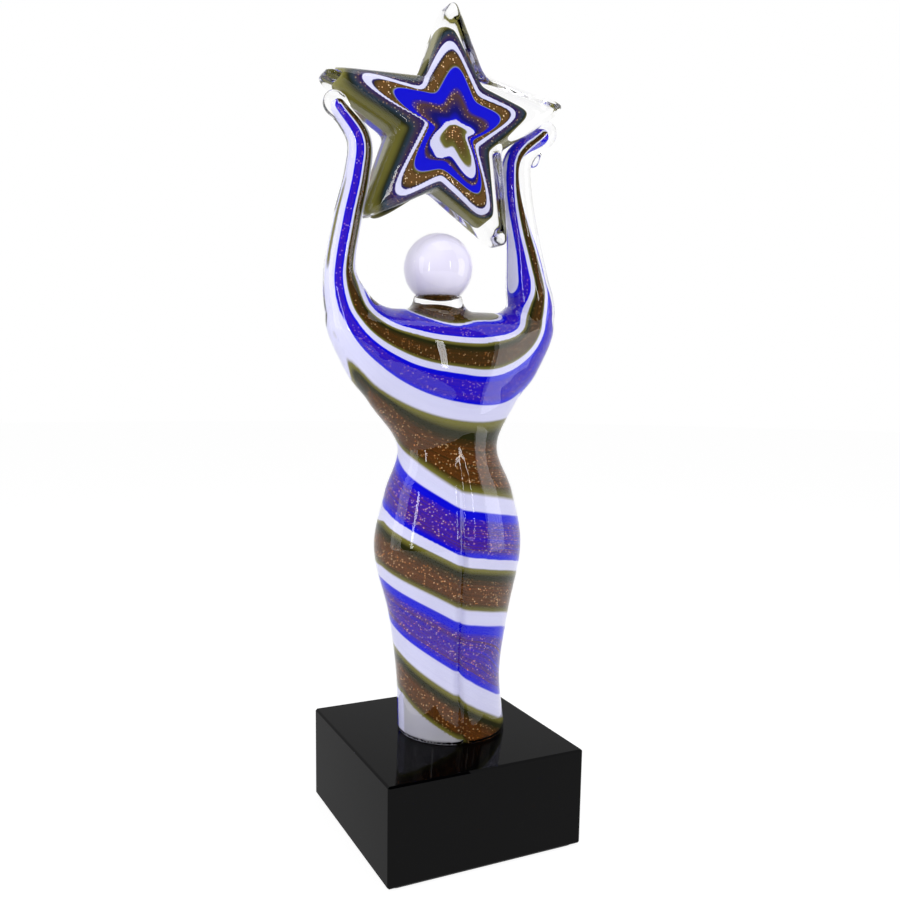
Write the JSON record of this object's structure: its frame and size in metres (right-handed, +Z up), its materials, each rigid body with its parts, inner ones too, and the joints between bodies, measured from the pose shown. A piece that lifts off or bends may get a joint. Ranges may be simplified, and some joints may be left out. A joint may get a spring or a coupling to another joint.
{
  "type": "star trophy",
  "caption": "Hot-worked art glass figure with a white ball head and raised arms holding a layered glass star, bonded to a square black crystal base.",
  "frame": {"origin": "centre of the flat underside that the trophy stands on", "axes": "+Z up, the figure's front faces -Y, +X to the figure's left hand side as seen in the room, which is the viewer's right"},
  "size_m": [0.1058, 0.0888, 0.3438],
  "materials": {
    "black_crystal": "polished black optical crystal",
    "pad_rubber": "matt soft sheet",
    "clear_bond": "cured clear adhesive",
    "clear_glass": "fire-polished clear glass",
    "white_glass": "opal white glass with a lavender cast",
    "blue_glass": "dense cobalt blue glass with copper glitter",
    "olive_glass": "olive glass with copper aventurine glitter",
    "gold_glass": "gold-brown glass with copper glitter",
    "opal_glass": "opal white glass"
  },
  "bodies": {
    "root": {"base_pad": "pad_rubber", "base_block": "black_crystal", "foot_bond": "clear_bond", "body_casing": "clear_glass", "body_core_rod": "white_glass", "body_blue_band": "blue_glass", "body_narrow_white_band": "white_glass", "body_olive_band": "olive_glass", "body_wide_white_band": "white_glass", "neck_collar": "clear_glass", "head_casing": "clear_glass", "head_core": "opal_glass", "left_arm_casing": "clear_glass", "left_arm_blue_cane": "blue_glass", "left_arm_white_cane": "white_glass", "left_arm_olive_cane": "olive_glass", "right_arm_casing": "clear_glass", "right_arm_blue_cane": "blue_glass", "right_arm_white_cane": "white_glass", "right_arm_olive_cane": "olive_glass", "left_hand": "clear_glass", "right_hand": "clear_glass", "right_hand_drip": "clear_glass", "star_casing": "clear_glass", "star_olive_layer": "olive_glass", "star_white_line": "white_glass", "star_gold_layer": "gold_glass", "star_blue_layer": "blue_glass", "star_white_patch": "white_glass", "star_centre": "olive_glass"}
  },
  "joints": []
}
